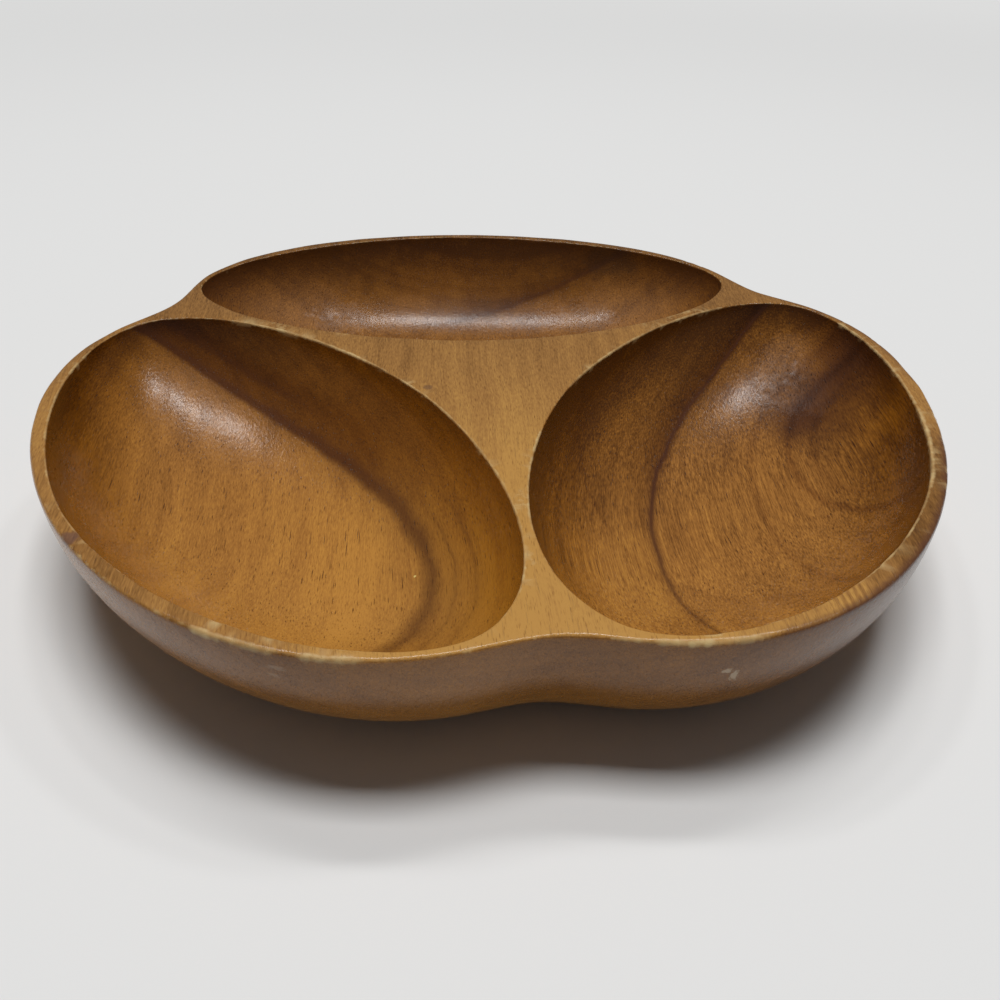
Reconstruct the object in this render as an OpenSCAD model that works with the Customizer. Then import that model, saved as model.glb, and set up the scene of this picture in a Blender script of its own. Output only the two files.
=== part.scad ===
// Divided serving dish, carved from one block of wood.
// Three oval wells lie round a flat web, and the side curves in to a flat foot.
// The origin is the middle of the foot. +Z is up, and +Y points to the rear well.

/* [Dish] */
// Height from the foot to the flat rim
dish_h = 46; // [40:1:60]
// Depth of the wells below the rim
well_depth = 34; // [24:1:36]
// Distance from the middle of the dish to the middle of each well
well_out = 78.5; // [77:0.5:90]
// How softly two neighbouring lobes run together in a notch
notch_soft = 10; // [7:0.5:13]
// Width of the worn bevel along the edges of the rim and the wells
edge_worn = 1; // [0.4:0.2:2]

/* [Side] */
// How far the curve of the side would run inwards, down to its lowest point
side_run = 66; // [45:1:80]
// How far below the foot that lowest point lies
side_below = 10; // [4:1:30]

/* [Rear well] */
// Length of the rear well
rear_len = 202; // [185:1:206]
// Width of the rear well
rear_w = 105.5; // [95:0.5:112]
// How far the middle of the rear well bulges outwards against its ends
rear_bow = 0; // [0:0.5:6]
// Thickness of the rim outside the middle of the rear well
rear_rim = 3.7; // [2.5:0.1:8]
// Turn of the rear well about its middle, in degrees
rear_turn = -1.5; // [-4:0.5:4]

/* [Left well] */
// Length of the left well
left_len = 199.5; // [185:0.5:206]
// Width of the left well
left_w = 110.5; // [95:0.5:112]
// How far the middle of the left well bulges outwards against its ends
left_bow = 4; // [0:0.5:6]
// Thickness of the rim outside the middle of the left well
left_rim = 3.7; // [2.5:0.1:8]
// Turn of the left well about its middle, in degrees
left_turn = -1.5; // [-4:0.5:4]

/* [Right well] */
// Length of the right well
right_len = 205.5; // [185:0.5:208]
// Width of the right well
right_w = 109.5; // [95:0.5:112]
// How far the middle of the right well bulges outwards against its ends
right_bow = 2; // [0:0.5:6]
// Thickness of the rim outside the middle of the right well
right_rim = 4.7; // [2.5:0.1:8]
// Turn of the right well about its middle, in degrees
right_turn = -1; // [-4:0.5:4]

/* [Hidden] */

// Direction of each well from the middle of the dish, in degrees
rear_dir = 90;
left_dir = 210;
right_dir = 330;

// How much wider than its middle each well is at its anticlockwise end
rear_taper_share = -0.01;
left_taper_share = -0.02;
right_taper_share = 0.07;
// How far each well sways to and fro along its length, as a share of half its width
rear_sway_share = -0.02;
left_sway_share = -0.045;
right_sway_share = 0.025;

// Power of the wells' outline: 2 is an ellipse, and less has fuller sides and finer ends
oval_power = 1.82;
// Powers of the wells' cross-section: the first flattens the floor, the second eases the wall
floor_power = 2.4;
wall_power = 1.6;

// Radius of the solid core under the web, as a share of the wells' distance
core_share = 1.2;
// How much shorter the run of the side is where the dish is fullest, and in which direction
side_full_share = 0.2;
side_full_dir = 25;
// Width of the edge bevel in the wells, which is less worn, as a share of the rim's
well_edge_share = 0.8;
// Share of a well's half length past which its outline's formula holds still
beyond_share = 1.3;

// Points round the outline and round each well, and rings down each surface
outline_points = 96;
well_points = 60;
side_rings = 10;
well_rings = 9;
// Steps that find a point of the outline along its ray
ray_steps = 18;

// Each well: direction, turn, length, width, bow, rim, taper, sway
rear_well = [rear_dir, rear_turn, rear_len, rear_w, rear_bow, rear_rim, rear_taper_share, rear_sway_share];
left_well = [left_dir, left_turn, left_len, left_w, left_bow, left_rim, left_taper_share, left_sway_share];
right_well = [
    right_dir, right_turn, right_len, right_w, right_bow, right_rim, right_taper_share, right_sway_share
];
wells = [rear_well, left_well, right_well];

core_r = well_out * core_share;
widest = max(rear_w, left_w, right_w);
// No point of the outline lies further out than this
ray_max = well_out + widest;
// Mean radius of the dish, by which the side's inward curve scales the outline
dish_r = well_out + (rear_w + left_w + right_w) / 6 + (rear_rim + left_rim + right_rim) / 3;
side_h = dish_h + side_below;
well_edge = edge_worn * well_edge_share;
overrun = edge_worn;

// A power that keeps the sign, for ovals fuller or finer than an ellipse
function signed_power(v, p) = sign(v) * pow(abs(v), p);

// How far the middle line of a well lies outwards from its axis, at share u of its half length
function midline(w, u) = (w[4] + w[7] * u * w[3] / 2) * (1 - u * u);

// How far point p lies outside one lobe: the well's ellipse with the rim round it
function lobe_gap(w, p) =
    let (
        turned = w[0] + w[1] - 90,
        x = p[0] - well_out * cos(w[0]),
        y = p[1] - well_out * sin(w[0]),
        half_w = w[3] / 2 + w[5],
        u = (x * cos(turned) + y * sin(turned)) / (w[2] / 2),
        near_u = max(-beyond_share, min(beyond_share, u)),
        v = y * cos(turned) - x * sin(turned) - midline(w, near_u)
    )
    (norm([u, v / (half_w * (1 + w[6] * near_u))]) - 1) * half_w;

// How far point p lies outside the whole outline, with the lobes run softly together
function outline_gap(p) =
    let (
        gaps = [for (w = wells) lobe_gap(w, p)],
        all_gaps = concat(gaps, [norm(p) - core_r]),
        sums = [for (g = all_gaps) exp(-g / notch_soft)]
    )
    -notch_soft * ln(sums * [for (s = sums) 1]);

// Radius of the outline in direction a, closed in on between two bounds
function outline_r(a, low, high, steps) =
    let (mid = (low + high) / 2)
    steps == 0 ? mid
    : outline_gap(mid * [cos(a), sin(a)]) < 0 ? outline_r(a, mid, high, steps - 1)
    : outline_r(a, low, mid, steps - 1);

// A point of a well: oval angle a, share s of the way out, wall moved out by grow.
// Towards the floor's middle the oval turns into a plain ellipse.
function well_xy(w, a, s, grow) =
    let (
        turned = w[0] + w[1] - 90,
        power = 2 / (2 + (oval_power - 2) * s),
        across = s * signed_power(cos(a), power),
        u = (w[2] / 2 + grow) * across,
        half_w = (w[3] / 2 + grow) * (1 + w[6] * across),
        v = half_w * s * signed_power(sin(a), power) + midline(w, across)
    )
    [
        well_out * cos(w[0]) + u * cos(turned) - v * sin(turned),
        well_out * sin(w[0]) + u * sin(turned) + v * cos(turned)
    ];

// One level ring of a well
function well_ring(w, s, grow, z) =
    [for (i = [0 : well_points - 1]) let (p = well_xy(w, 360 * i / well_points, s, grow)) [p[0], p[1], z]];

// A closed solid through level rings, lowest first, with a point that closes each end
module loft(rings, low, high) {
    n = len(rings[0]);
    last = len(rings) - 1;
    points = concat([for (r = rings) each r], [low, high]);
    low_i = n * (last + 1);
    high_i = low_i + 1;
    sides = [
        for (k = [0 : last - 1], i = [0 : n - 1])
            let (
                j = (i + 1) % n,
                a = k * n + i,
                b = k * n + j,
                c = a + n,
                d = b + n
            )
            each [[a, c, b], [b, c, d]]
    ];
    low_end = [for (i = [0 : n - 1]) [low_i, i, (i + 1) % n]];
    high_end = [for (i = [0 : n - 1]) [high_i, last * n + (i + 1) % n, last * n + i]];
    polyhedron(points, concat(sides, low_end, high_end), convexity = 6);
}

// The outside of the dish: its lobed outline, drawn in along a quarter ellipse down to the foot
module side() {
    ray_angles = [for (i = [0 : outline_points - 1]) 360 * i / outline_points];
    first = asin(edge_worn / side_h);
    foot = asin(dish_h / side_h);
    curve_angles = [for (k = [side_rings : -1 : 0]) first + (foot - first) * k / side_rings];
    radii = [for (a = ray_angles) outline_r(a, 0, ray_max, ray_steps)];
    runs = [for (a = ray_angles) side_run * (1 - side_full_share * cos(a - side_full_dir))];
    curve = [
        for (t = curve_angles)
            [
                for (i = [0 : outline_points - 1])
                    let (r = radii[i] * (1 - runs[i] * (1 - cos(t)) / dish_r), a = ray_angles[i])
                    [r * cos(a), r * sin(a), dish_h - side_h * sin(t)]
            ]
    ];
    top_share = 1 - edge_worn / dish_r;
    top = [
        for (i = [0 : outline_points - 1])
            let (r = radii[i] * top_share, a = ray_angles[i])
            [r * cos(a), r * sin(a), dish_h]
    ];
    loft(concat(curve, [top]), [0, 0, 0], [0, 0, dish_h]);
}

// The hollow of one well, with its worn edge, running on a little above the rim
module well(w) {
    drop = well_depth - well_edge;
    curve = [
        for (k = [1 : well_rings])
            let (t = 90 - 90 * k / well_rings)
            well_ring(
                w,
                pow(cos(t), 2 / floor_power),
                0,
                dish_h - well_edge - drop * pow(sin(t), 2 / wall_power)
            )
    ];
    above = well_ring(w, 1, well_edge + overrun, dish_h + overrun);
    middle = well_xy(w, 0, 0, 0);
    loft(
        concat(curve, [above]),
        [middle[0], middle[1], dish_h - well_depth],
        [middle[0], middle[1], dish_h + overrun]
    );
}

// The dish itself, one solid block of wood
module carved_dish() {
    color("peru")
    difference() {
        side();
        for (w = wells) well(w);
    }
}

carved_dish();
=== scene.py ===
import math

import bpy
import numpy as np
from mathutils import Matrix, Vector, kdtree, noise
from mathutils.geometry import delaunay_2d_cdt


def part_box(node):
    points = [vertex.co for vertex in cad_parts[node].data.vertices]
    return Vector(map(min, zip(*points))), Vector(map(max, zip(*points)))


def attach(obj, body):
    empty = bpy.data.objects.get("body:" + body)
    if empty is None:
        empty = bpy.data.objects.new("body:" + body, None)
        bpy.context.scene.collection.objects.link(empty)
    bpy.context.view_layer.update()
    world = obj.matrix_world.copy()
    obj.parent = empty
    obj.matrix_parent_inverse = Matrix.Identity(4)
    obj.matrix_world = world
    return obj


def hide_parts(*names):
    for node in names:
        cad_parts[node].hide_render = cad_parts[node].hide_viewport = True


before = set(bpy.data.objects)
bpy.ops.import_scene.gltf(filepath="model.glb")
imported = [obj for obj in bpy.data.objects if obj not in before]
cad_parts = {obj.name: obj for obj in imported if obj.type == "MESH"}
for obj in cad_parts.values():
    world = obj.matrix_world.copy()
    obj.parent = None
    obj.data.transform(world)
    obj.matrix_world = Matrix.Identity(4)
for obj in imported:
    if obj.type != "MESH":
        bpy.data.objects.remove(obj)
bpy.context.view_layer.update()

# The block, shaped outside.
# The dish is one piece of golden brown hardwood, with its grain running from front to back.
# Its lobed side was carved and sanded in a soft curve down to a flat foot, which it stands on.

mm = 0.001
dish_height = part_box("carved_dish")[1].z
well_out = 78.5 * mm
notch_soft = 10 * mm
core_share = 1.2
side_run = 66 * mm
side_below = 10 * mm
side_full_share = 0.2
side_full_direction = math.radians(25)
beyond_share = 1.3
farthest_share = 3
halvings = 40
sanded_off = 0.1 * mm

rear_well = dict(
    direction=math.radians(90), turn=math.radians(-1.5), length=202 * mm, width=105.5 * mm,
    bow=0, rim=3.7 * mm, taper=-0.01, sway=-0.02,
)
left_well = dict(
    direction=math.radians(210), turn=math.radians(-1.5), length=199.5 * mm, width=110.5 * mm,
    bow=4 * mm, rim=3.7 * mm, taper=-0.02, sway=-0.045,
)
right_well = dict(
    direction=math.radians(330), turn=math.radians(-1), length=205.5 * mm, width=109.5 * mm,
    bow=2 * mm, rim=4.7 * mm, taper=0.07, sway=0.025,
)
wells = [rear_well, left_well, right_well]
core_radius = well_out * core_share
side_drop = dish_height + side_below
mean_radius = well_out + sum(well["width"] / 2 + well["rim"] for well in wells) / len(wells)


def midline(well, u):
    """How far the middle line of a well lies outwards from its axis, at share u of its half length."""
    return (well["bow"] + well["sway"] * u * well["width"] / 2) * (1 - u * u)


def lobe_gap(well, x, y):
    """How far a point lies outside one lobe: the well's ellipse with the rim round it."""
    turned = well["direction"] + well["turn"] - math.pi / 2
    x = x - well_out * math.cos(well["direction"])
    y = y - well_out * math.sin(well["direction"])
    half_width = well["width"] / 2 + well["rim"]
    u = (x * math.cos(turned) + y * math.sin(turned)) / (well["length"] / 2)
    near_u = np.clip(u, -beyond_share, beyond_share)
    v = y * math.cos(turned) - x * math.sin(turned) - midline(well, near_u)
    return (np.hypot(u, v / (half_width * (1 + well["taper"] * near_u))) - 1) * half_width


def outline_gap(x, y):
    """How far a point lies outside the whole outline, where the lobes run softly together."""
    gaps = [lobe_gap(well, x, y) for well in wells] + [np.hypot(x, y) - core_radius]
    return -notch_soft * np.log(sum(np.exp(-gap / notch_soft) for gap in gaps))


def outline_radius(angles):
    """Radius of the outline in each direction, closed in on between two bounds."""
    low, high = np.zeros(len(angles)), np.full(len(angles), well_out * farthest_share)
    for _ in range(halvings):
        middle = (low + high) / 2
        inside = outline_gap(middle * np.cos(angles), middle * np.sin(angles)) < 0
        low, high = np.where(inside, middle, low), np.where(inside, high, middle)
    return low - sanded_off


class Skin:
    """The points and faces of the dish, gathered as its surfaces are laid ring by ring."""

    def __init__(self):
        self.points, self.faces = [], []

    def ring(self, x, y, z):
        """Adds one ring of points and returns their numbers."""
        first = len(self.points)
        self.points.extend(np.stack(np.broadcast_arrays(x, y, z), axis=1).tolist())
        return np.arange(first, len(self.points))

    def band(self, one, other):
        """Joins two rings with faces."""
        corners = [one, np.roll(one, -1), np.roll(other, -1), other]
        self.faces.extend(np.stack(corners, axis=1).tolist())

    def close(self, ring, centre, upwards):
        """Closes a ring with faces that meet at a point."""
        self.points.append(list(centre))
        middle = len(self.points) - 1
        a, b = (ring, np.roll(ring, -1)) if upwards else (np.roll(ring, -1), ring)
        self.faces.extend([int(i), int(j), middle] for i, j in zip(a, b))

    def ease(self, start, corner, end, steps):
        """Rings round a worn edge, from start past its corner to end. Each of these is rows of x, y and z."""
        rings = []
        for step in range(steps + 1):
            s = step / steps
            between = (1 - s) ** 2 * start + 2 * s * (1 - s) * corner + s * s * end
            rings.append(self.ring(*between))
        return rings


def unevenness(x, y, size):
    """A number from -1 to 1 that wanders along an edge, over stretches of about this size."""
    return np.array([noise.noise(Vector((a / size, b / size, 0))) for a, b in zip(x, y)])


outline_points = 720
side_rings = 20
edge_steps = 5
rim_round = 1.3 * mm
rim_uneven, rim_uneven_length = 0.5, 14 * mm
foot_round = 1.5 * mm
foot_shares = (0.25, 0.6, 0.93)

skin = Skin()
round_angles = np.arange(outline_points) * 2 * math.pi / outline_points
lobed_radius = outline_radius(round_angles)
inward_run = side_run * (1 - side_full_share * np.cos(round_angles - side_full_direction)) / mean_radius
outline_x, outline_y = lobed_radius * np.cos(round_angles), lobed_radius * np.sin(round_angles)
rim_worn = rim_round * (1 + rim_uneven * unevenness(outline_x, outline_y, rim_uneven_length))


def on_side(t):
    """A ring of the side: a quarter ellipse, from the rim at angle 0 down to the foot."""
    radius = lobed_radius * (1 - inward_run * (1 - np.cos(t)))
    height = dish_height - side_drop * np.sin(t)
    return np.stack([radius * np.cos(round_angles), radius * np.sin(round_angles), height + 0 * radius])


def drawn_in(ring, distance):
    """A ring moved towards the middle of the dish by a distance."""
    radius = np.hypot(ring[0], ring[1])
    return np.stack([ring[0] * (1 - distance / radius), ring[1] * (1 - distance / radius), ring[2]])


foot_angle = math.asin(dish_height / side_drop)
foot_edge = on_side(np.full(outline_points, foot_angle))
above_foot = foot_angle - foot_round / side_drop
below_rim = np.arcsin(rim_worn / side_drop)
foot_rings = [skin.ring(foot_edge[0] * share, foot_edge[1] * share, 0) for share in foot_shares]
foot_rings += skin.ease(drawn_in(foot_edge, foot_round), foot_edge, on_side(above_foot), edge_steps)
side_steps = [
    skin.ring(*on_side(above_foot + (below_rim - above_foot) * step / side_rings))
    for step in range(1, side_rings)
]
rim_edge = np.stack([outline_x, outline_y, np.full(outline_points, dish_height)])
rim_steps = skin.ease(on_side(below_rim), rim_edge, drawn_in(rim_edge, rim_worn), edge_steps)
outside = foot_rings + side_steps + rim_steps
for lower, upper in zip(outside, outside[1:]):
    skin.band(lower, upper)
skin.close(outside[0], (0, 0, 0), upwards=False)
outline_ring = outside[-1]

# The wells.
# Three oval wells lie round a flat web. Each was hollowed with a round cutter and sanded smooth,
# so that its wall drops steeply from a crisp edge and eases into a gently curved floor.

well_depth = 34 * mm
oval_power = 1.82
floor_power = 2.4
wall_power = 1.6
well_points = 420
well_rings = 32
well_round = 0.8 * mm
well_uneven, well_uneven_length = 0.7, 11 * mm


def signed_power(value, power):
    """A power that keeps the sign, for ovals a little fuller or finer than an ellipse."""
    return np.sign(value) * np.abs(value) ** power


def on_well(well, share, grow, height):
    """A ring of a well at a share of the way out, with its wall moved out by grow."""
    turned = well["direction"] + well["turn"] - math.pi / 2
    angles = np.arange(well_points) * 2 * math.pi / well_points
    power = 2 / (2 + (oval_power - 2) * share)
    across = share * signed_power(np.cos(angles), power)
    u = (well["length"] / 2 + grow) * across
    half_width = (well["width"] / 2 + grow) * (1 + well["taper"] * across)
    v = half_width * share * signed_power(np.sin(angles), power) + midline(well, across)
    return np.stack([
        well_out * math.cos(well["direction"]) + u * math.cos(turned) - v * math.sin(turned),
        well_out * math.sin(well["direction"]) + u * math.sin(turned) + v * math.cos(turned),
        height + 0 * u,
    ])


well_mouths, well_edges, well_insides = [], [], []
for well in wells:
    edge = on_well(well, np.ones(well_points), 0, dish_height)
    worn = well_round * (1 + well_uneven * unevenness(edge[0], edge[1], well_uneven_length))
    first = np.arcsin((worn / well_depth) ** (wall_power / 2))
    wall = []
    for step in range(well_rings):
        t = first + (math.pi / 2 - first) * step / well_rings
        drop = well_depth * np.sin(t) ** (2 / wall_power)
        wall.append(on_well(well, np.cos(t) ** (2 / floor_power), 0, dish_height - drop))
    mouth = on_well(well, np.ones(well_points), worn, dish_height)
    rings = skin.ease(mouth, edge, wall[0], edge_steps) + [skin.ring(*ring) for ring in wall[1:]]
    for upper, lower in zip(rings, rings[1:]):
        skin.band(upper, lower)
    middle = on_well(well, np.zeros(well_points), 0, dish_height - well_depth)[:, 0]
    skin.close(rings[-1], middle, upwards=True)
    lowest = len(skin.points) - 1
    well_mouths.append(rings[0])
    well_edges.append(edge)
    on_edge, below_edge = np.concatenate(rings[2:4]), np.concatenate(rings[4:])
    well_insides.append((on_edge, np.append(below_edge, lowest)))

# The web and the rim.
# What the wells leave of the block's flat top is the three-cornered web and the thin rim.
# It was planed level, and years of use have rounded its edges and rubbed them pale.

web_spacing = 1.7 * mm
web_clear = 1.1 * mm
well_clear = 3 * mm
edge_clear = web_clear + 1.7 * rim_round
same_point = 1e-6


def search_tree(rings):
    """A search tree of the points of some rings, to find how far away the nearest one is."""
    made = kdtree.KDTree(sum(ring.shape[1] for ring in rings))
    for number, point in enumerate(np.concatenate(rings, axis=1).T):
        made.insert(point, number)
    made.balance()
    return made


corners = search_tree([rim_edge] + well_edges)
loops = [outline_ring] + well_mouths
loop_points = [skin.points[i] for ring in loops for i in ring]
scatter = []
reach = float(lobed_radius.max())
row = 0
while -reach + row * web_spacing < reach:
    y = -reach + row * web_spacing
    for x in np.arange(-reach + (row % 2) * web_spacing / 2, reach, web_spacing):
        off_wells = min(lobe_gap(well, x, y) + well["rim"] for well in wells) > -well_clear
        if off_wells and outline_gap(x, y) < -web_clear:
            if corners.find(Vector((x, y, dish_height)))[2] > edge_clear:
                scatter.append((x, y))
    row += 1

starts = np.cumsum([0] + [len(ring) for ring in loops])
loop_faces = [list(range(a, b)) for a, b in zip(starts, starts[1:])]
flat_points = [Vector((p[0] / mm, p[1] / mm)) for p in loop_points]
flat_points += [Vector((x / mm, y / mm)) for x, y in scatter]
web_points, _, web_faces, point_sources, _, face_sources = delaunay_2d_cdt(
    flat_points, [], loop_faces, 0, same_point, True,
)
loop_numbers = [int(i) for ring in loops for i in ring]
numbers = []
for point, sources in zip(web_points, point_sources):
    known = [source for source in sources if source < len(loop_numbers)]
    if known:
        numbers.append(loop_numbers[known[0]])
    else:
        numbers.append(len(skin.points))
        skin.points.append([point.x * mm, point.y * mm, dish_height])
# A face that lies in the outline's loop and in no well's loop is part of the flat top.
for face, sources in zip(web_faces, face_sources):
    if sources == [0]:
        skin.faces.append([numbers[i] for i in face])

used = np.unique(np.concatenate([np.array(face) for face in skin.faces]))
renumbered = np.full(len(skin.points), -1)
renumbered[used] = np.arange(len(used))
points = np.array(skin.points)[used]

dish_mesh = bpy.data.meshes.new("finished_dish")
faces = [[int(renumbered[i]) for i in face] for face in skin.faces]
dish_mesh.from_pydata(points.tolist(), [], faces)
dish_mesh.update()
dish = bpy.data.objects.new("finished_dish", dish_mesh)
bpy.context.scene.collection.objects.link(dish)

far_from_edge = 20 * mm


def distance_to(rings):
    """How far each high point of the dish lies from the sharp corner that some rings follow."""
    nearest = search_tree(rings)
    far = np.full(len(points), far_from_edge)
    for number in np.nonzero(points[:, 2] > dish_height - far_from_edge / 2)[0]:
        far[number] = min(far_from_edge, nearest.find(Vector(points[number]))[2])
    return far


def store(name, values):
    """Keeps one number for each point of the dish, under a name that the wear and the wood look up."""
    dish_mesh.attributes.new(name, "FLOAT", "POINT").data.foreach_set("value", values)


store("rim_distance", distance_to([rim_edge]))
store("well_distance", distance_to(well_edges))

# The hollow of each well in a colour: the left well is red, the right green and the rear blue.
hollow = np.zeros((len(points), 4))
for channel, (on_edge, below_edge) in zip((2, 0, 1), well_insides):
    hollow[renumbered[on_edge], channel] = 0.5
    hollow[renumbered[below_edge], channel] = 1
dish_mesh.attributes.new("hollow", "FLOAT_COLOR", "POINT").data.foreach_set("color", hollow.ravel())

# The wear.
# Years of use have chipped, rubbed and stained the edges: small dents along the rim, long rubbed stretches
# in front, and a broken band round the right well. The carver's hand shows as a faint unevenness.

marked_down_to = 6 * mm
mark_spread = 1.5

# Each of these is a width in millimetres, a strength, and the places in millimetres that it runs through.
rim_knocks = [
    (1.2, 0.15, [(134, -11), (134.5, 12), (134, 27)]),
    (1.4, 0.22, [(-121, -75), (-102, -102), (-80, -118), (-71, -123), (-58, -129), (-50, -132), (-22, -134)]),
    (0.9, 0.95, [(-79, -118.5), (-77, -119.5)]),
    (0.7, 0.85, [(-71, -123), (-66, -125.5)]),
    (0.7, 0.9, [(-56, -130), (-49, -132)]),
    (1.2, 0.8, [(22, -134.5), (30, -135), (41, -134)]),
    (0.8, 0.5, [(12, -132.5), (16, -133.5)]),
    (1.2, 0.9, [(95.9, 98.4), (96.9, 97.4)]),
]
well_knocks = [
    (2.2, 1.3, [(129, -38), (126, -52), (121, -66), (115, -75)]),
    (0.6, 0.55, [(113, -78), (101, -94.6), (87.5, -108), (74.4, -115.7)]),
    (1.6, 0.7, [(134.4, 28), (135, 8), (132.5, -15), (129, -36)]),
    (1.2, 0.8, [(-84, 47), (-58.5, 32.6), (-36, 10.6)]),
    (1.0, 0.5, [(-36, 10.6), (-15.9, -28.6), (-10, -46)]),
    (0.6, 0.6, [(-10, -46), (-3.3, -70.8), (-2.6, -83), (-4.8, -95), (-8.7, -113)]),
    (0.6, 0.6, [(8.5, -41), (4.8, -47.9), (1.1, -61.2), (-0.7, -80.3)]),
    (1.0, 0.55, [(24.5, -7.8), (36, 9), (53, 25), (65.8, 36.3), (78.4, 43), (89.6, 47.7)]),
    (1.0, 0.38, [(-133.3, 20), (-135, 0), (-133.4, -20), (-130.6, -36.5), (-126, -53.8), (-116, -75.8)]),
    (0.8, 0.35, [(-30, 24), (0, 23), (30, 26), (60, 34), (80, 44)]),
]
rim_stains = [
    (1.5, 0.9, [(127, -56), (123.6, -64), (111, -86), (105, -95), (88, -111.5), (75.5, -121), (68, -126)]),
    (1.5, 0.5, [(139.8, -11), (140.3, 10.8), (137.6, 33), (129, 46.6), (122, 58)]),
    (1.0, 0.6, [(68, -126), (60, -129.5), (52, -132)]),
]


def nearness(x, y, width, line):
    """How near points lie to a line through some places, from 1 on it to 0 at twice its width."""
    best = np.full(len(x), np.inf)
    for (ax, ay), (bx, by) in zip(line, line[1:]):
        along = ((x - ax) * (bx - ax) + (y - ay) * (by - ay)) / ((bx - ax) ** 2 + (by - ay) ** 2)
        along = np.clip(along, 0, 1)
        best = np.minimum(best, np.hypot(x - ax - along * (bx - ax), y - ay - along * (by - ay)))
    return np.clip(2 - best / width, 0, 1)


high = points[:, 2] > dish_height - marked_down_to
for name, lines in (("rim_knock", rim_knocks), ("well_knock", well_knocks), ("rim_stain", rim_stains)):
    marked = np.zeros(len(points))
    for width, strength, line in lines:
        near = nearness(points[high, 0] / mm, points[high, 1] / mm, width + mark_spread, line)
        marked[high] = np.maximum(marked[high], strength * near)
    store(name, marked)


def add(tree, kind, feeds=None, **settings):
    """Adds a node with its settings. Each feed is a value for an input, or the output that feeds it."""
    made = tree.nodes.new(kind)
    for name, value in settings.items():
        setattr(made, name, value)
    for key, value in (feeds or {}).items():
        if isinstance(value, bpy.types.NodeSocket):
            tree.links.new(value, made.inputs[key])
        else:
            made.inputs[key].default_value = value
    return made


def new_tree(name, kind, inputs, outputs):
    """A node tree with named inputs and outputs. Returns it with what it is given and what it gives."""
    tree = bpy.data.node_groups.new(name, kind)
    for label, socket_kind, value in inputs:
        socket = tree.interface.new_socket(label, in_out="INPUT", socket_type=socket_kind)
        if value is not None:
            socket.default_value = value
    for label, socket_kind in outputs:
        tree.interface.new_socket(label, in_out="OUTPUT", socket_type=socket_kind)
    return tree, tree.nodes.new("NodeGroupInput").outputs, tree.nodes.new("NodeGroupOutput").inputs


def calc(tree, operation, *values, clamp=False):
    """One sum on numbers."""
    feeds = dict(enumerate(values))
    return add(tree, "ShaderNodeMath", feeds, operation=operation, use_clamp=clamp).outputs[0]


def product(tree, *factors):
    """Several numbers multiplied together."""
    total = factors[0]
    for factor in factors[1:]:
        total = calc(tree, "MULTIPLY", total, factor)
    return total


def reckon(tree, operation, *values):
    """One sum on vectors."""
    made = add(tree, "ShaderNodeVectorMath", dict(enumerate(values)), operation=operation)
    return made.outputs["Value" if operation in ("DOT_PRODUCT", "LENGTH", "DISTANCE") else "Vector"]


def rise(tree, value, low, high, to_low=0.0, to_high=1.0):
    """A smooth step from one number to another, as a value goes from low to high."""
    feeds = {"Value": value, "From Min": low, "From Max": high, "To Min": to_low, "To Max": to_high}
    return add(tree, "ShaderNodeMapRange", feeds, interpolation_type="SMOOTHSTEP").outputs[0]


wear_tree, given, gives = new_tree(
    "wear_and_tool_marks", "GeometryNodeTree",
    [
        ("Geometry", "NodeSocketGeometry", None),
        ("Unevenness", "NodeSocketFloat", 0.12 * mm),
        ("Uneven Length", "NodeSocketFloat", 26 * mm),
        ("Chip Depth", "NodeSocketFloat", 0.17 * mm),
        ("Chip Length", "NodeSocketFloat", 4 * mm),
        ("Edge Width", "NodeSocketFloat", 1.8 * mm),
        ("Seed", "NodeSocketInt", 7),
        ("Finish", "NodeSocketMaterial", None),
    ],
    [("Geometry", "NodeSocketGeometry")],
)
crisp_share = 0.2
chip_seed_step = 3.7
knock_bite = 0.17
chip_least, chip_full = 0.655, 0.78
foot_flat, foot_clear = 0.5 * mm, 4 * mm

tree = wear_tree
place = add(tree, "GeometryNodeInputPosition").outputs[0]
outward = add(tree, "GeometryNodeInputNormal").outputs[0]
height = add(tree, "ShaderNodeSeparateXYZ", {0: place}).outputs["Z"]
stored = {
    name: add(tree, "GeometryNodeInputNamedAttribute", {"Name": name}, data_type="FLOAT").outputs[0]
    for name in ("rim_distance", "well_distance", "rim_knock", "well_knock")
}
edge = calc(tree, "MINIMUM", stored["rim_distance"], stored["well_distance"])
knock = calc(tree, "MAXIMUM", stored["rim_knock"], stored["well_knock"], clamp=True)
wander = add(tree, "ShaderNodeTexNoise", {
    "Vector": place, "W": given["Seed"], "Detail": 1.0,
    "Scale": calc(tree, "DIVIDE", 1.0, given["Uneven Length"]),
}, noise_dimensions="4D").outputs[0]
chips = add(tree, "ShaderNodeTexNoise", {
    "Vector": place, "W": calc(tree, "ADD", given["Seed"], chip_seed_step), "Detail": 2.0,
    "Scale": calc(tree, "DIVIDE", 1.0, given["Chip Length"]),
}, noise_dimensions="4D").outputs[0]
near_edge = rise(tree, edge, given["Edge Width"], product(tree, given["Edge Width"], crisp_share))
bitten = calc(tree, "MULTIPLY_ADD", knock, knock_bite, chips)
chip = product(tree, rise(tree, bitten, chip_least, chip_full), near_edge)
off_foot = rise(tree, height, foot_flat, foot_clear)
sunk = product(tree, wander, given["Unevenness"], off_foot)
sunk = calc(tree, "MULTIPLY_ADD", chip, given["Chip Depth"], sunk)
inward = add(tree, "ShaderNodeVectorMath", {
    0: outward, "Scale": product(tree, sunk, -1.0),
}, operation="SCALE").outputs[0]
moved = add(tree, "GeometryNodeSetPosition", {"Geometry": given["Geometry"], "Offset": inward})
marked = add(tree, "GeometryNodeStoreNamedAttribute", {
    "Geometry": moved.outputs[0], "Name": "chipped", "Value": chip,
}, data_type="FLOAT", domain="POINT")
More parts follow.
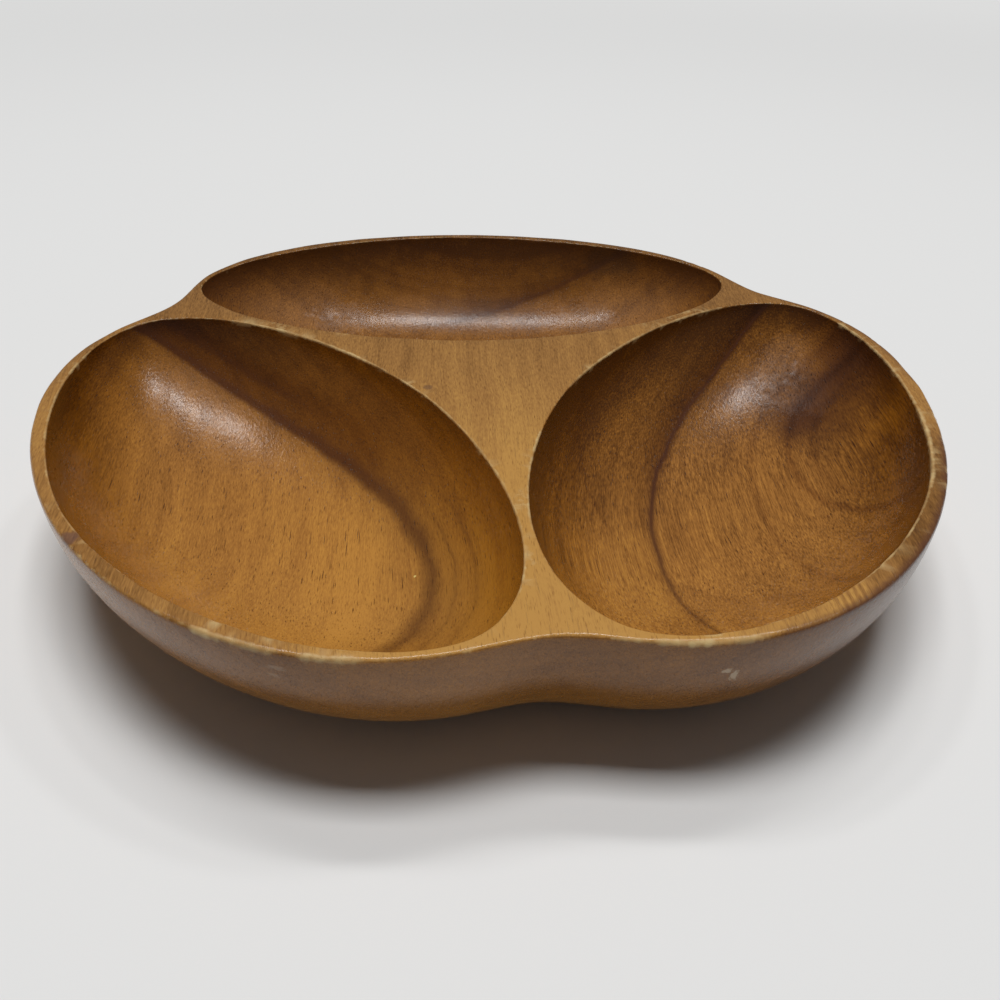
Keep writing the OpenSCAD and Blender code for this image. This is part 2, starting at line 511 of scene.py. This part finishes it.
whole = add(tree, "GeometryNodeRealizeInstances", {"Geometry": marked.outputs[0]})
finished = add(tree, "GeometryNodeSetMaterial", {
    "Geometry": whole.outputs[0], "Material": given["Finish"],
})
tree.links.new(finished.outputs[0], gives["Geometry"])

# The wood.
# The whole dish is one golden brown hardwood under a thin satin lacquer. Its open pores run from front
# to back as short dark dashes, and a dark growth ring curves through each well.

vector, number = "NodeSocketVector", "NodeSocketFloat"


def blend(tree, share, one, other, kind="MIX"):
    """Lays one colour over another."""
    feeds = {0: share, 6: one, 7: other}
    return add(tree, "ShaderNodeMix", feeds, data_type="RGBA", blend_type=kind).outputs[2]


def grown(tree, place, scale, detail):
    """Noise of the same size in every direction."""
    return add(tree, "ShaderNodeTexNoise", {"Vector": place, "Scale": scale, "Detail": detail})


def mottling(tree, place, across, along, detail):
    """Noise drawn out along the grain, with its size in millimetres across the grain and along it."""
    return grown(tree, reckon(tree, "DIVIDE", place, (across, along, across)), 1.0, detail).outputs[0]


# The way of the grain: it runs from front to back, and fans out a little towards the right.
slant_at_middle, slant_more = 0.08, 0.0007
bend = (9, 0, 9)

grain_flow, given, gives = new_tree(
    "grain_flow", "ShaderNodeTree", [("Place", vector, None)], [("Flow", vector)],
)
tree = grain_flow
axes = add(tree, "ShaderNodeSeparateXYZ", {0: given["Place"]}).outputs
slant = calc(tree, "MULTIPLY_ADD", axes["X"], slant_more, slant_at_middle)
straight = add(tree, "ShaderNodeCombineXYZ", {
    "X": calc(tree, "SUBTRACT", axes["X"], product(tree, axes["Y"], slant)), "Y": axes["Y"], "Z": axes["Z"],
}).outputs[0]
bends = reckon(tree, "SUBTRACT", grown(tree, given["Place"], 0.012, 1.0).outputs[1], (0.5, 0.5, 0.5))
tree.links.new(reckon(tree, "ADD", straight, reckon(tree, "MULTIPLY", bends, bend)), gives["Flow"])

# Open pores: cells drawn out along the grain, each with one pore of its own width and depth.
narrowest, wider = 0.5, 0.9
shallowest, deeper = 0.4, 0.6
pore_core = 0.4

open_pores, given, gives = new_tree(
    "open_pores", "ShaderNodeTree",
    [
        ("Flow", vector, None), ("Spacing", vector, (1, 11.4, 1)), ("Width", number, 0.175),
        ("Share", number, 0.8),
    ],
    [("Pores", number)],
)
tree = open_pores
cells = add(tree, "ShaderNodeTexVoronoi", {
    "Vector": reckon(tree, "DIVIDE", given["Flow"], given["Spacing"]), "Scale": 1.0,
}).outputs
luck = add(tree, "ShaderNodeSeparateColor", {0: cells["Color"]}).outputs
width = product(tree, given["Width"], calc(tree, "MULTIPLY_ADD", luck[0], wider, narrowest))
pore = rise(tree, cells["Distance"], width, product(tree, width, pore_core))
chosen = calc(tree, "LESS_THAN", luck[1], given["Share"])
depth = calc(tree, "MULTIPLY_ADD", luck[2], deeper, shallowest)
tree.links.new(product(tree, pore, chosen, depth), gives["Pores"])

# A growth ring: where a round layer of the tree comes out at the surface, as a dark line with a soft
# shade inside.
ring_waver = 1.6
line_least, line_more = 0.2, 1.6
soft_line_share, sharp_line_share = 0.3, 0.75
soft_line_spread = 3.2
shade_outside = 2.0

growth_ring, given, gives = new_tree(
    "growth_ring", "ShaderNodeTree",
    [
        ("Place", vector, None), ("Across", vector, (1, 0, 0)), ("Upright", vector, (0, 0, 1)),
        ("Centre", vector, (0, 120, 0)), ("Radius", number, 100), ("Line Width", number, 1.2),
        ("Shade Width", number, 12),
    ],
    [("Line", number), ("Shade", number)],
)
tree = growth_ring
seen_end_on = add(tree, "ShaderNodeCombineXYZ", {
    "X": reckon(tree, "DOT_PRODUCT", given["Place"], given["Across"]),
    "Y": reckon(tree, "DOT_PRODUCT", given["Place"], given["Upright"]),
}).outputs[0]
waver = grown(tree, given["Place"], 0.09, 2.0).outputs[0]
off_ring = calc(tree, "SUBTRACT", reckon(tree, "DISTANCE", seen_end_on, given["Centre"]), given["Radius"])
off_ring = calc(tree, "ADD", off_ring, calc(tree, "MULTIPLY_ADD", waver, ring_waver, -ring_waver / 2))
off_line = calc(tree, "ABSOLUTE", off_ring)
thick = grown(tree, given["Place"], 0.05, 3.0).outputs[0]
thick = product(tree, given["Line Width"], calc(tree, "MULTIPLY_ADD", thick, line_more, line_least))
soft_line = rise(tree, off_line, product(tree, thick, soft_line_spread), 0.0)
sharp_line = product(tree, rise(tree, off_line, thick, 0.0), sharp_line_share)
line = calc(tree, "MULTIPLY_ADD", soft_line, soft_line_share, sharp_line, clamp=True)
inside_shade = rise(tree, off_ring, product(tree, given["Shade Width"], -1.0), 0.0)
tree.links.new(line, gives["Line"])
tree.links.new(product(tree, inside_shade, rise(tree, off_ring, shade_outside, 0.0)), gives["Shade"])

# A spot: a ragged round mark, such as a pin knot or a scuff.
spot, given, gives = new_tree(
    "spot", "ShaderNodeTree",
    [("Place", vector, None), ("Centre", vector, None), ("Size", vector, (1, 1, 1)), ("Ragged", number, 0.5)],
    [("Spot", number)],
)
tree = spot
from_middle = reckon(tree, "DIVIDE", reckon(tree, "SUBTRACT", given["Place"], given["Centre"]), given["Size"])
rough = grown(tree, from_middle, 2.2, 3.0).outputs[0]
rough = product(tree, calc(tree, "MULTIPLY_ADD", rough, 2.0, -1.0), given["Ragged"])
spot_edge = calc(tree, "ADD", reckon(tree, "LENGTH", from_middle), rough)
tree.links.new(rise(tree, spot_edge, 1.0, 0.5), gives["Spot"])

wood = bpy.data.materials.new("lacquered_wood")
wood.use_nodes = True
tree = wood.node_tree
tree.nodes.clear()
coordinates = add(tree, "ShaderNodeTexCoord").outputs
place = add(tree, "ShaderNodeVectorMath", {
    0: coordinates["Object"], "Scale": 1 / mm,
}, operation="SCALE").outputs[0]
axes = add(tree, "ShaderNodeSeparateXYZ", {0: place}).outputs
facing = add(tree, "ShaderNodeSeparateXYZ", {0: coordinates["Normal"]}).outputs
flow = add(tree, "ShaderNodeGroup", {"Place": place}, node_tree=grain_flow).outputs[0]
wells_colour = add(tree, "ShaderNodeAttribute", attribute_name="hollow").outputs["Color"]
left_hollow, right_hollow, rear_hollow = add(tree, "ShaderNodeSeparateColor", {0: wells_colour}).outputs[:3]
any_hollow = calc(tree, "ADD", calc(tree, "ADD", left_hollow, right_hollow), rear_hollow, clamp=True)
outside = calc(tree, "SUBTRACT", 1.0, any_hollow)

# The wood's figure: noise drawn out along the grain, and layers round the tree's heart above the dish.
tree_heart = (0, 0, 125)
stripes = mottling(tree, flow, 6, 140, 3.0)
streaks = mottling(tree, flow, 0.5, 30, 2.0)
mottle = mottling(tree, flow, 0.36, 2.4, 2.0)
ripple = mottling(tree, flow, 0.95, 1.9, 1.0)
clouds = mottling(tree, flow, 38, 110, 2.0)
layer = reckon(tree, "DISTANCE", reckon(tree, "MULTIPLY", flow, (1, 0, 1)), tree_heart)
layer_place = add(tree, "ShaderNodeCombineXYZ", {"X": layer, "Y": axes["Y"]}).outputs[0]
layers = mottling(tree, layer_place, 3.2, 160, 3.0)
patches = grown(tree, place, 0.4, 5.0).outputs[0]
long_patches = grown(tree, place, 0.07, 2.0).outputs[0]


def spot_at(centre, size, ragged):
    """Where one ragged spot lies on the dish, with its middle and its size in millimetres."""
    feeds = {"Place": place, "Centre": centre, "Size": size, "Ragged": ragged}
    return add(tree, "ShaderNodeGroup", feeds, node_tree=spot).outputs[0]


def pores_of(spacing, width):
    """One size of open pores over the whole dish."""
    feeds = {"Flow": flow, "Spacing": spacing, "Width": width}
    return add(tree, "ShaderNodeGroup", feeds, node_tree=open_pores).outputs[0]


def tone_of(*parts):
    """Adds up the parts of the wood's tone: each is a value, its middle and its weight."""
    total = 0.0
    for value, middle, weight in parts:
        total = calc(tree, "MULTIPLY_ADD", value, weight, calc(tree, "ADD", total, -middle * weight))
    return total


# Parts of the dish whose tone is set apart: walls of the wells by the way they face, as painted light and
# shade; the outside; and spots.
# Painted light and shade in the wells by the way the walls face: steep and sideways-facing walls are painted
# darker, the right well's web-side wall darker still, the left well's web-side wall lighter, and the left
# well's left wall darker in front and lighter behind.
facing_sideways = calc(tree, "ABSOLUTE", facing["X"])
steep_painted_shade = product(tree, rise(tree, facing["Z"], 0.98, 0.25), any_hollow)
side_wall_painted_shade = product(tree, rise(tree, facing_sideways, 0.35, 0.85), any_hollow)
web_wall_painted_shade = product(tree, rise(tree, facing["X"], 0.4, 0.8), right_hollow)
left_web_wall_painted_light = product(tree, rise(tree, facing["X"], -0.35, -0.8), left_hollow)
left_wall_painted_shading = product(tree, rise(tree, facing["X"], 0.2, 0.7), left_hollow)
left_wall_painted_shading = product(tree, left_wall_painted_shading, rise(tree, axes["Y"], 22.0, -8.0, -1.0, 1.0))
# Painted light: the back-right wall of the right well, which turns away from the lamps, is painted lighter.
right_wall_painted_light = product(tree, spot_at((135, 0, 37), (28, 42, 28), 0.3), right_hollow)
ring_front = product(tree, spot_at((29, -76, 16), (26, 36, 26), 0.3), right_hollow)
amber = product(tree, spot_at((127, 31, 36), (14, 14, 18), 0.3), right_hollow)
ribbons = product(tree, calc(tree, "SUBTRACT", streaks, 0.5), right_hollow)

outside_wall = product(tree, rise(tree, facing["Z"], 0.8, 0.3), outside)
wall_stripes = product(tree, calc(tree, "SUBTRACT", stripes, 0.5), outside_wall)
# Painted light: the outside is painted lighter low down near the foot, standing in for the warm band that
# shows where the side reflects the shadow on the table.
low_side_painted_light = product(tree, rise(tree, axes["Z"], 24.0, 3.0), outside_wall)
# Painted sheen: the outside is painted lighter towards its far left and far right ends, where the lacquer
# shows a grazing reflection, and darker between them.
left_to_middle_painted_sheen = product(tree, rise(tree, axes["X"], -110.0, 20.0, -0.22, 0.08), outside_wall)
far_right_painted_sheen = product(tree, rise(tree, axes["X"], 70.0, 110.0), outside_wall)
end_grain = product(tree, rise(tree, calc(tree, "ABSOLUTE", facing["Y"]), 0.3, 1.0), outside)
back_end = product(tree, end_grain, rise(tree, axes["Y"], 0.0, 40.0))

pale_heart = spot_at((-2, -112, 46), (42, 75, 60), 0.3)
right_rim = product(tree, spot_at((108, -88, 46), (44, 52, 22), 0.3), outside)
to_the_side = product(tree, rise(tree, calc(tree, "ABSOLUTE", axes["X"]), 30.0, 85.0), outside)
front_corners = product(tree, to_the_side, rise(tree, axes["Y"], -15.0, -75.0))
rib_turns = 2.9
flow_across = add(tree, "ShaderNodeSeparateXYZ", {0: flow}).outputs["X"]
ribs = product(
    tree, calc(tree, "SINE", product(tree, flow_across, rib_turns)),
    spot_at((69.5, -121, 46), (8, 9, 7), 0.2), calc(tree, "SUBTRACT", outside, outside_wall),
)

base_tone = 0.36
tone = tone_of(
    (base_tone, 0.0, 1.0),
    (stripes, 0.5, 0.45),
    (streaks, 0.5, 0.45),
    (mottle, 0.5, 0.75),
    (clouds, 0.5, 0.4),
    (layers, 0.5, 0.4),
    (axes["Y"], 0.0, 0.0026),
    (right_hollow, 0.0, 0.2),
    (rear_hollow, 0.0, -0.02),
    (steep_painted_shade, 0.0, 0.3),
    (side_wall_painted_shade, 0.0, 0.16),
    (web_wall_painted_shade, 0.0, 0.1),
    (left_web_wall_painted_light, 0.0, -0.2),
    (left_wall_painted_shading, 0.0, 0.07),
    (far_right_painted_sheen, 0.0, -0.2),
    (ring_front, 0.0, -0.16),
    (end_grain, 0.0, 0.48),
    (ribbons, 0.0, 0.7),
    (ribs, 0.0, 0.22),
    (front_corners, 0.0, 0.3),
    (pale_heart, 0.0, -0.05),
    (wall_stripes, 0.0, -0.2),
    (left_to_middle_painted_sheen, 0.0, 1.0),
    (low_side_painted_light, 0.0, -0.25),
    (right_rim, 0.0, 0.3),
    (back_end, 0.0, -0.3),
    (amber, 0.0, -0.3),
    (right_wall_painted_light, 0.0, -0.38),
)
ramp = add(tree, "ShaderNodeValToRGB", {0: tone})
stops = [
    (0.0, (0.47, 0.245, 0.062)),
    (0.35, (0.33, 0.158, 0.042)),
    (0.7, (0.185, 0.082, 0.019)),
    (1.0, (0.095, 0.038, 0.009)),
]
ramp.color_ramp.elements[0].position, ramp.color_ramp.elements[1].position = 0, 1
for position, _ in stops[1:-1]:
    ramp.color_ramp.elements.new(position)
for element, (_, shade) in zip(ramp.color_ramp.elements, stops):
    element.color = (*shade, 1)
paint = ramp.outputs[0]
# Painted shade: the wells, and most of all their steep and sideways-facing walls, are tinted darker and
# deeper in colour. The outside wall gets a warmer tint.
tints_and_painted_shade = [
    (any_hollow, (1.0, 0.88, 0.64)),
    (steep_painted_shade, (0.88, 0.78, 0.36)),
    (side_wall_painted_shade, (0.95, 0.88, 0.5)),
    (outside_wall, (0.93, 0.8, 0.46)),
]
for share, shade in tints_and_painted_shade:
    paint = blend(tree, share, paint, (*shade, 1), "MULTIPLY")

# The growth rings. Each is where it shows, the way the tree's length points (its heading and its climb in
# degrees), the ring's centre and radius, the widths of its line and shade, and how dark these two are.
ring_shade, ring_line = (0.46, 0.37, 0.18, 1), (0.07, 0.022, 0.007, 1)
left_tree = (-8.3, -0.9, (-42.5, 122.3))
left_back = product(tree, left_hollow, rise(tree, axes["Y"], 0.0, 35.0))
left_front = product(tree, left_hollow, rise(tree, axes["Y"], -30.0, -60.0))
right_back = product(tree, right_hollow, rise(tree, axes["X"], 96.0, 112.0))
right_back = product(tree, right_back, rise(tree, axes["Y"], -25.0, 5.0))
rear_right = product(tree, rear_hollow, rise(tree, axes["X"], -30.0, 15.0))
shade_back = rise(tree, axes["Y"], -55.0, 15.0, 0.35, 1.3)
line_back = rise(tree, axes["Y"], -105.0, -10.0, 0.55, 1.0)
rings = [
    (left_hollow, *left_tree, 102.5, 2.3, 26, 0.76, 1.05),
    (left_front, *left_tree, 102.3, 0.7, 3, 0.4, 0.3),
    (left_front, *left_tree, 99.0, 0.45, 2, 0.35, 0.3),
    (left_front, *left_tree, 95.6, 0.6, 3, 0.3, 0.25),
    (left_back, *left_tree, 96.5, 1.8, 6, 0.35, 0.4),
    (right_hollow, 18.8, 3.5, (36.2, 77.3), 64.9, 0.8, 13, 1.0, 0.8),
    (right_back, 0.8, 0.3, (92.2, 62.5), 46.5, 2.2, 8, 0.7, 0.75),
    (rear_right, -3.2, 2.5, (-8.4, 154.5), 142.5, 1.0, 8, 0.6, 0.5),
]
for where, heading, climb, centre, radius, line_width, shade_width, line_depth, shade_depth in rings:
    heading, climb = math.radians(heading), math.radians(climb)
    across = Vector((math.cos(heading), -math.sin(heading), 0))
    lengthwise = Vector((
        math.sin(heading) * math.cos(climb), math.cos(heading) * math.cos(climb), math.sin(climb),
    ))
    ring = add(tree, "ShaderNodeGroup", {
        "Place": place, "Across": across, "Upright": across.cross(lengthwise), "Centre": (*centre, 0),
        "Radius": radius, "Line Width": line_width, "Shade Width": shade_width,
    }, node_tree=growth_ring).outputs
    shaded = product(tree, ring["Shade"], where, shade_depth)
    shaded = calc(tree, "MULTIPLY", shaded, shade_back, clamp=True)
    paint = blend(tree, shaded, paint, ring_shade, "MULTIPLY")
    paint = blend(tree, product(tree, ring["Line"], where, line_depth, line_back), paint, ring_line)

# Fainter rings that come out low in the right well as ovals. Each of these is a centre, a size, a width
# and a strength.
oval_shade = (0.4, 0.28, 0.16, 1)
oval_waver = 0.08
oval_softness = 2.2
any_height = 1e6
ovals = [
    ((128, -27), (27, 45), 0.045, 0.5),
    ((128, -60), (46, 90), 0.025, 0.32),
    ((75, -30), (50, 60), 0.02, 0.2),
    ((130, -27), (22, 36), 0.05, 0.3),
]
for centre, size, width, strength in ovals:
    away = reckon(tree, "DIVIDE", reckon(tree, "SUBTRACT", place, (*centre, 0)), (*size, any_height))
    off_oval = calc(tree, "SUBTRACT", reckon(tree, "LENGTH", away), 1 + oval_waver / 2)
    off_oval = calc(tree, "ABSOLUTE", calc(tree, "MULTIPLY_ADD", stripes, oval_waver, off_oval))
    lined = product(tree, rise(tree, off_oval, width * oval_softness, 0.0), right_hollow, strength)
    paint = blend(tree, lined, paint, oval_shade, "MULTIPLY")

# The pores look dark in the wells and show less on the flat top and the outside.
dark_on_top, darker_in_wells, paler_in_left = 0.16, 0.84, -0.1
fine_pore_depth = 0.7
pores = pores_of((0.66, 17, 0.66), 0.25)
fine_pores = pores_of((0.46, 3.4, 0.46), 0.32)
long_pores = pores_of((1.3, 34, 1.3), 0.16)
pore_depth = calc(tree, "MULTIPLY_ADD", any_hollow, darker_in_wells, dark_on_top)
pore_depth = calc(tree, "MULTIPLY_ADD", left_hollow, paler_in_left, pore_depth)
paint = blend(tree, product(tree, fine_pores, fine_pore_depth), paint, (0.45, 0.36, 0.28, 1), "MULTIPLY")
paint = blend(tree, product(tree, long_pores, right_hollow), paint, (0.34, 0.24, 0.16, 1), "MULTIPLY")
paint = blend(tree, product(tree, pores, pore_depth), paint, (0.21, 0.13, 0.08, 1), "MULTIPLY")

# The worn edges: stained along some stretches of the rim, and rubbed down to bare pale wood along others.
thinnest_rub, rub_core = 0.05, 0.4
paler_if_knocked = 0.55
stain_raggedness = 2.4
stain_from, stain_full = 4.2, 1.5
stain_depth, chip_bareness = 0.85, 0.7
stored = {
    name: add(tree, "ShaderNodeAttribute", attribute_name=name).outputs["Fac"]
    for name in ("rim_distance", "well_distance", "rim_knock", "well_knock", "rim_stain", "chipped")
}


def rubbed(distance, knocked, uneven, least, most):
    """Where an edge is rubbed bare: a broken line along it, wider and paler where it was knocked."""
    reach = calc(tree, "MULTIPLY_ADD", calc(tree, "SUBTRACT", patches, 0.5), uneven, least)
    reach = calc(tree, "MAXIMUM", calc(tree, "MULTIPLY_ADD", knocked, most, reach), thinnest_rub)
    line = rise(tree, product(tree, distance, 1 / mm), reach, product(tree, reach, rub_core))
    strength = rise(tree, long_patches, 0.4, 0.62, 0.05, 0.5)
    strength = calc(tree, "MULTIPLY_ADD", knocked, paler_if_knocked, strength)
    return calc(tree, "MULTIPLY", line, strength, clamp=True)


stain_reach = product(tree, patches, stain_raggedness)
stain_reach = calc(tree, "MULTIPLY_ADD", stored["rim_distance"], 1 / mm, stain_reach)
stained = product(tree, rise(tree, stain_reach, stain_from, stain_full), stored["rim_stain"], stain_depth)
paint = blend(tree, stained, paint, (0.1, 0.038, 0.02, 1))
worn = calc(
    tree, "MAXIMUM",
    rubbed(stored["rim_distance"], stored["rim_knock"], 2.2, 0.25, 1.7),
    rubbed(stored["well_distance"], stored["well_knock"], 1.5, 0.4, 0.85),
)
worn = calc(tree, "MAXIMUM", worn, product(tree, stored["chipped"], chip_bareness))
bare_wood = blend(tree, rise(tree, patches, 0.36, 0.64), (0.46, 0.28, 0.11, 1), (0.57, 0.41, 0.19, 1))
paint = blend(tree, worn, paint, bare_wood)

# A pin knot in the web, dark scars on the rim, a dark patch behind, pale scuffs in front and a pale speck in
# the left well. Each is a centre, a size, how ragged it is, a colour and a strength.
marks = [
    ((-21.9, -8.4, 46), (2.1, 1.9, 2), 0.4, (0.13, 0.065, 0.035), 0.6),
    ((-115, -81.5, 46), (3.6, 3.2, 3), 0.5, (0.13, 0.065, 0.05), 0.7),
    ((95.9, 98.4, 46), (2.6, 1.6, 2), 0.5, (0.05, 0.025, 0.02), 0.8),
    ((68, 115, 41), (17, 12, 9), 0.4, (0.045, 0.02, 0.008), 0.4),
    ((38.8, -132.6, 33.6), (1.2, 3, 2.8), 0.9, (0.46, 0.34, 0.22), 0.9),
    ((36.6, -133, 36), (1.5, 3, 1.1), 0.9, (0.46, 0.34, 0.22), 0.8),
    ((-63.6, -127.4, 40.9), (2.6, 3, 0.9), 0.9, (0.42, 0.29, 0.19), 0.4),
    ((-64.3, -126.6, 38.1), (1.8, 3, 0.8), 0.9, (0.42, 0.29, 0.19), 0.35),
    ((-30.3, -70.2, 19), (0.5, 0.6, 0.6), 0.2, (0.75, 0.6, 0.2), 0.8),
]
for centre, size, ragged, shade, strength in marks:
    paint = blend(tree, product(tree, spot_at(centre, size, ragged), strength), paint, (*shade, 1))

# The lacquer is patchy and dull towards the ends of the rear well and high in the right one. Pores and
# worn edges are rough too. The glossy coat is gone from worn edges and dull lacquer, and thin outside.
smooth, pore_rough, worn_rough, cloud_rough, dull_rough = 0.18, 0.3, 0.3, 0.1, 0.34
coat_full, coat_off_worn, coat_off_outside, coat_off_dull = 0.2, -0.2, -0.16, -0.2
off_middle = calc(tree, "ABSOLUTE", calc(tree, "ADD", axes["X"], -2.0))
dull_rear = rise(tree, calc(tree, "MULTIPLY_ADD", long_patches, 30.0, off_middle), 40.0, 92.0)
dull_rear = product(tree, dull_rear, rear_hollow)
dull_right = product(tree, spot_at((123, 27, 28), (26, 30, 30), 0.3), right_hollow, 0.75)
dull = calc(tree, "MULTIPLY_ADD", patches, 1.1, calc(tree, "MAXIMUM", dull_rear, dull_right))
dull = rise(tree, dull, 0.75, 1.5)
roughness = calc(tree, "MULTIPLY_ADD", worn, worn_rough, smooth)
roughness = calc(tree, "MULTIPLY_ADD", pores, pore_rough, roughness)
roughness = calc(tree, "MULTIPLY_ADD", clouds, cloud_rough, roughness)
roughness = calc(tree, "MULTIPLY_ADD", dull, dull_rough, roughness)
coat = calc(tree, "MULTIPLY_ADD", worn, coat_off_worn, coat_full)
coat = calc(tree, "MULTIPLY_ADD", outside_wall, coat_off_outside, coat)
coat = calc(tree, "MULTIPLY_ADD", dull, coat_off_dull, coat, clamp=True)

# The finest relief, in tenths of a millimetre: the grain stands up a little and the pores are sunk.
streak_height, mottle_height, ripple_height, less_ripple_in_rear = 0.3, 0.35, 0.95, -0.4
pore_sink, fine_pore_sink = -0.8, -0.25
relief = calc(tree, "MULTIPLY_ADD", streaks, streak_height, product(tree, mottle, mottle_height))
ripple_here = calc(tree, "MULTIPLY_ADD", rear_hollow, less_ripple_in_rear, ripple_height)
relief = calc(tree, "MULTIPLY_ADD", ripple, ripple_here, relief)
relief = calc(tree, "MULTIPLY_ADD", fine_pores, fine_pore_sink, relief)
relief = calc(tree, "MULTIPLY_ADD", pores, pore_sink, relief)
bump = add(tree, "ShaderNodeBump", {"Height": relief, "Distance": 0.1 * mm, "Strength": 1.0})
bsdf = add(tree, "ShaderNodeBsdfPrincipled", {
    "Base Color": paint, "Roughness": roughness, "Specular IOR Level": 0.45, "Coat Weight": coat,
    "Coat Roughness": 0.2, "Normal": bump.outputs[0],
})
add(tree, "ShaderNodeOutputMaterial", {"Surface": bsdf.outputs[0]})

modifier = dish.modifiers.new("wear_and_tool_marks", "NODES")
modifier.node_group = wear_tree
for item in wear_tree.interface.items_tree:
    if item.name == "Finish":
        modifier[item.identifier] = wood
bpy.context.view_layer.update()
worn_mesh = bpy.data.meshes.new_from_object(dish.evaluated_get(bpy.context.evaluated_depsgraph_get()))
dish.modifiers.remove(modifier)
dish.data = worn_mesh
bpy.data.meshes.remove(dish_mesh)
worn_mesh.name = "finished_dish"
worn_mesh.shade_smooth()

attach(dish, "root")
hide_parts("carved_dish")

# The table and the light.
# The dish stands on a plain pale table. A wide soft lamp hangs over it, and four smaller ones behind it put
# the soft shine on the walls of the wells. The rest of the room is dim.

backdrop_colour = (0.72, 0.72, 0.715, 1)
table_half = 6.0
fade_from, fade_to = 0.5, 1.6

floor_mesh = bpy.data.meshes.new("table_top")
table_corners = [(x * table_half, y * table_half, 0) for x, y in ((-1, -1), (1, -1), (1, 1), (-1, 1))]
floor_mesh.from_pydata(table_corners, [], [(0, 1, 2, 3)])
table = bpy.data.objects.new("table_top", floor_mesh)
bpy.context.scene.collection.objects.link(table)
pale = bpy.data.materials.new("pale_table")
pale.use_nodes = True
tree = pale.node_tree
tree.nodes.clear()
top = add(tree, "ShaderNodeBsdfPrincipled", {"Base Color": (0.74, 0.74, 0.735, 1), "Roughness": 0.9})
from_dish = reckon(tree, "LENGTH", add(tree, "ShaderNodeTexCoord").outputs["Object"])
light_path = add(tree, "ShaderNodeLightPath").outputs
looked_at = calc(tree, "MAXIMUM", light_path["Is Camera Ray"], light_path["Is Glossy Ray"])
far_off = product(tree, rise(tree, from_dish, fade_from, fade_to), looked_at)
horizon = add(tree, "ShaderNodeEmission", {"Color": backdrop_colour, "Strength": 1.0})
laid = add(tree, "ShaderNodeMixShader", {0: far_off, 1: top.outputs[0], 2: horizon.outputs[0]})
add(tree, "ShaderNodeOutputMaterial", {"Surface": laid.outputs[0]})
floor_mesh.materials.append(pale)

room = bpy.data.worlds.new("dim_room")
bpy.context.scene.world = room
room.use_nodes = True
tree = room.node_tree
tree.nodes.clear()
seen = add(tree, "ShaderNodeLightPath").outputs["Is Camera Ray"]
dim = add(tree, "ShaderNodeBackground", {"Color": (1, 1, 1, 1), "Strength": 0.08})
backdrop = add(tree, "ShaderNodeBackground", {"Color": backdrop_colour, "Strength": 1})
shown = add(tree, "ShaderNodeMixShader", {0: seen, 1: dim.outputs[0], 2: backdrop.outputs[0]})
add(tree, "ShaderNodeOutputWorld", {"Surface": shown.outputs[0]})

camera_place = (-0.04116, -0.29177, 0.19235)
camera_pitch, camera_roll, camera_yaw = (math.radians(v) for v in (33.619, 2.056, 8.741))
lamp_distance = 3.5
level_forward = Vector((math.sin(camera_yaw), math.cos(camera_yaw), 0))
level_right = Vector((math.cos(camera_yaw), -math.sin(camera_yaw), 0))


def lamp(name, azimuth, elevation, width, depth, strength, shines=True):
    """A soft lamp that faces the dish. Its azimuth is from straight away from the camera, to the right."""
    a, e = math.radians(azimuth), math.radians(elevation)
    outwards = level_forward * math.cos(a) + level_right * math.sin(a)
    direction = outwards * math.cos(e) + Vector((0, 0, math.sin(e)))
    across = level_right * math.cos(a) - level_forward * math.sin(a)
    data = bpy.data.lights.new(name, "AREA")
    data.shape, data.size, data.size_y, data.energy = "RECTANGLE", width, depth, strength
    made = bpy.data.objects.new(name, data)
    turned = Matrix((across, direction.cross(across), direction)).transposed().to_4x4()
    made.matrix_world = Matrix.Translation(direction * lamp_distance) @ turned
    made.visible_glossy = shines
    bpy.context.scene.collection.objects.link(made)


lamp("lamp_over", 180, 88.5, 1.8, 0.9, 88, shines=False)
lamp("lamp_behind", 17, 71, 0.42, 0.24, 10.5)
lamp("lamp_behind_middle", -16, 71, 0.42, 0.24, 8)
lamp("lamp_behind_left", -42.5, 65.2, 0.44, 0.24, 8.6)
lamp("lamp_behind_right", 44, 61.5, 0.42, 0.24, 9)

camera_data = bpy.data.cameras.new("camera")
camera_data.sensor_width = 36
camera_data.lens = 36.115
camera_data.clip_start = 0.01
camera = bpy.data.objects.new("camera", camera_data)
forward = level_forward * math.cos(camera_pitch) - Vector((0, 0, math.sin(camera_pitch)))
upright = level_forward * math.sin(camera_pitch) + Vector((0, 0, math.cos(camera_pitch)))
right = level_right * math.cos(camera_roll) + upright * math.sin(camera_roll)
up = upright * math.cos(camera_roll) - level_right * math.sin(camera_roll)
turned = Matrix((right, up, -forward)).transposed().to_4x4()
camera.matrix_world = Matrix.Translation(camera_place) @ turned
bpy.context.scene.collection.objects.link(camera)
bpy.context.scene.camera = camera
bpy.context.scene.view_settings.view_transform = "Standard"
